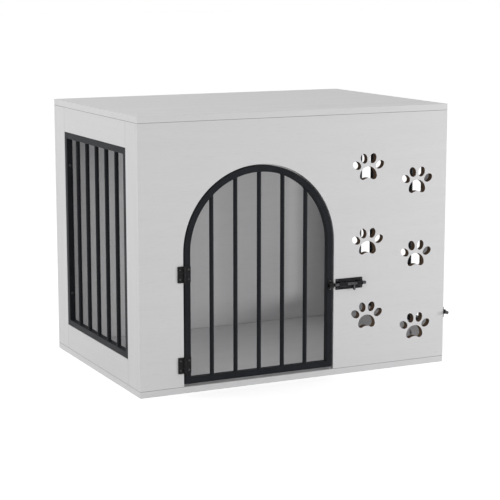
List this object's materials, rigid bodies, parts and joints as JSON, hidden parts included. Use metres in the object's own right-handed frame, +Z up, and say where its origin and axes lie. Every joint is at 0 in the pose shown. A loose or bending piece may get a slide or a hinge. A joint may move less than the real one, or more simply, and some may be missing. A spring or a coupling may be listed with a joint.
{
  "type": "dog crate end table",
  "caption": "Board cabinet side table that doubles as a dog crate, with barred steel doors, an arched front doorway and paw-shaped vents.",
  "frame": {"origin": "centre of the cabinet's underside, on the floor", "axes": "+X to the right along the front, +Y towards the back, +Z up; the arched door is on the -Y side"},
  "size_m": [0.8124, 0.5624, 0.634],
  "materials": {
    "white_board": "matt white laminate on fibreboard",
    "black_steel": "satin black powder coat",
    "cam_metal": "dull cast zinc",
    "bolt_steel": "plated steel",
    "dowel_wood": "bare beech"
  },
  "bodies": {
    "cabinet": {"top_board": "white_board", "bottom_board": "white_board", "front_panel": "white_board", "back_panel": "white_board", "left_front_stile": "white_board", "left_rear_stile": "white_board", "left_top_rail": "white_board", "left_bottom_rail": "white_board", "right_front_stile": "white_board", "right_rear_stile": "white_board", "right_top_rail": "white_board", "right_bottom_rail": "white_board", "left_grille_frame": "black_steel", "left_grille_bar_1": "black_steel", "left_grille_bar_2": "black_steel", "left_grille_bar_3": "black_steel", "left_grille_bar_4": "black_steel", "left_grille_bar_5": "black_steel", "left_grille_screws": "black_steel", "front_lower_hinge_fixed_leaf": "black_steel", "front_upper_hinge_fixed_leaf": "black_steel", "front_lower_hinge_pin": "black_steel", "front_upper_hinge_pin": "black_steel", "right_lower_hinge_fixed_leaf": "black_steel", "right_upper_hinge_fixed_leaf": "black_steel", "right_lower_hinge_pin": "black_steel", "right_upper_hinge_pin": "black_steel", "front_latch_plate": "black_steel", "right_latch_plate": "black_steel", "cabinet_hardware_screws": "black_steel", "cam_locks": "cam_metal", "cam_bolts": "bolt_steel", "dowels": "dowel_wood"},
    "front_door": {"front_door_frame": "black_steel", "front_door_bar_1": "black_steel", "front_door_bar_2": "black_steel", "front_door_bar_3": "black_steel", "front_door_bar_4": "black_steel", "front_door_bar_5": "black_steel", "front_lower_hinge_door_leaf": "black_steel", "front_upper_hinge_door_leaf": "black_steel", "front_latch_keeper": "black_steel", "front_door_screws": "black_steel"},
    "right_door": {"right_door_frame": "black_steel", "right_door_bar_1": "black_steel", "right_door_bar_2": "black_steel", "right_door_bar_3": "black_steel", "right_door_bar_4": "black_steel", "right_door_bar_5": "black_steel", "right_lower_hinge_door_leaf": "black_steel", "right_upper_hinge_door_leaf": "black_steel", "right_latch_keeper": "black_steel", "right_door_screws": "black_steel"},
    "front_bolt": {"front_latch_rod": "black_steel"},
    "front_knob": {"front_latch_knob": "black_steel"},
    "right_bolt": {"right_latch_rod": "black_steel"},
    "right_knob": {"right_latch_knob": "black_steel"}
  },
  "joints": [
    {"name": "front_door_hinge", "type": "hinge", "parent": "cabinet", "child": "front_door", "pos_m": [-0.2915, -0.2783, 0.1706], "axis": [0, 0, -1], "range_deg": [0, 170]},
    {"name": "right_door_hinge", "type": "hinge", "parent": "cabinet", "child": "right_door", "pos_m": [0.4033, 0.2005, 0.317], "axis": [0, 0, 1], "range_deg": [0, 170]},
    {"name": "front_bolt_slide", "type": "slide", "parent": "cabinet", "child": "front_bolt", "axis": [-1, 0, 0], "range_m": [0, 0.017]},
    {"name": "front_knob_turn", "type": "hinge", "parent": "front_bolt", "child": "front_knob", "pos_m": [0.1455, -0.2808, 0.219], "axis": [-1, 0, 0], "range_deg": [0, 180]},
    {"name": "right_bolt_slide", "type": "slide", "parent": "cabinet", "child": "right_bolt", "axis": [0, 1, 0], "range_m": [0, 0.017]},
    {"name": "right_knob_turn", "type": "hinge", "parent": "right_bolt", "child": "right_knob", "pos_m": [0.4058, -0.2545, 0.1237], "axis": [0, -1, 0], "range_deg": [0, 180]}
  ]
}
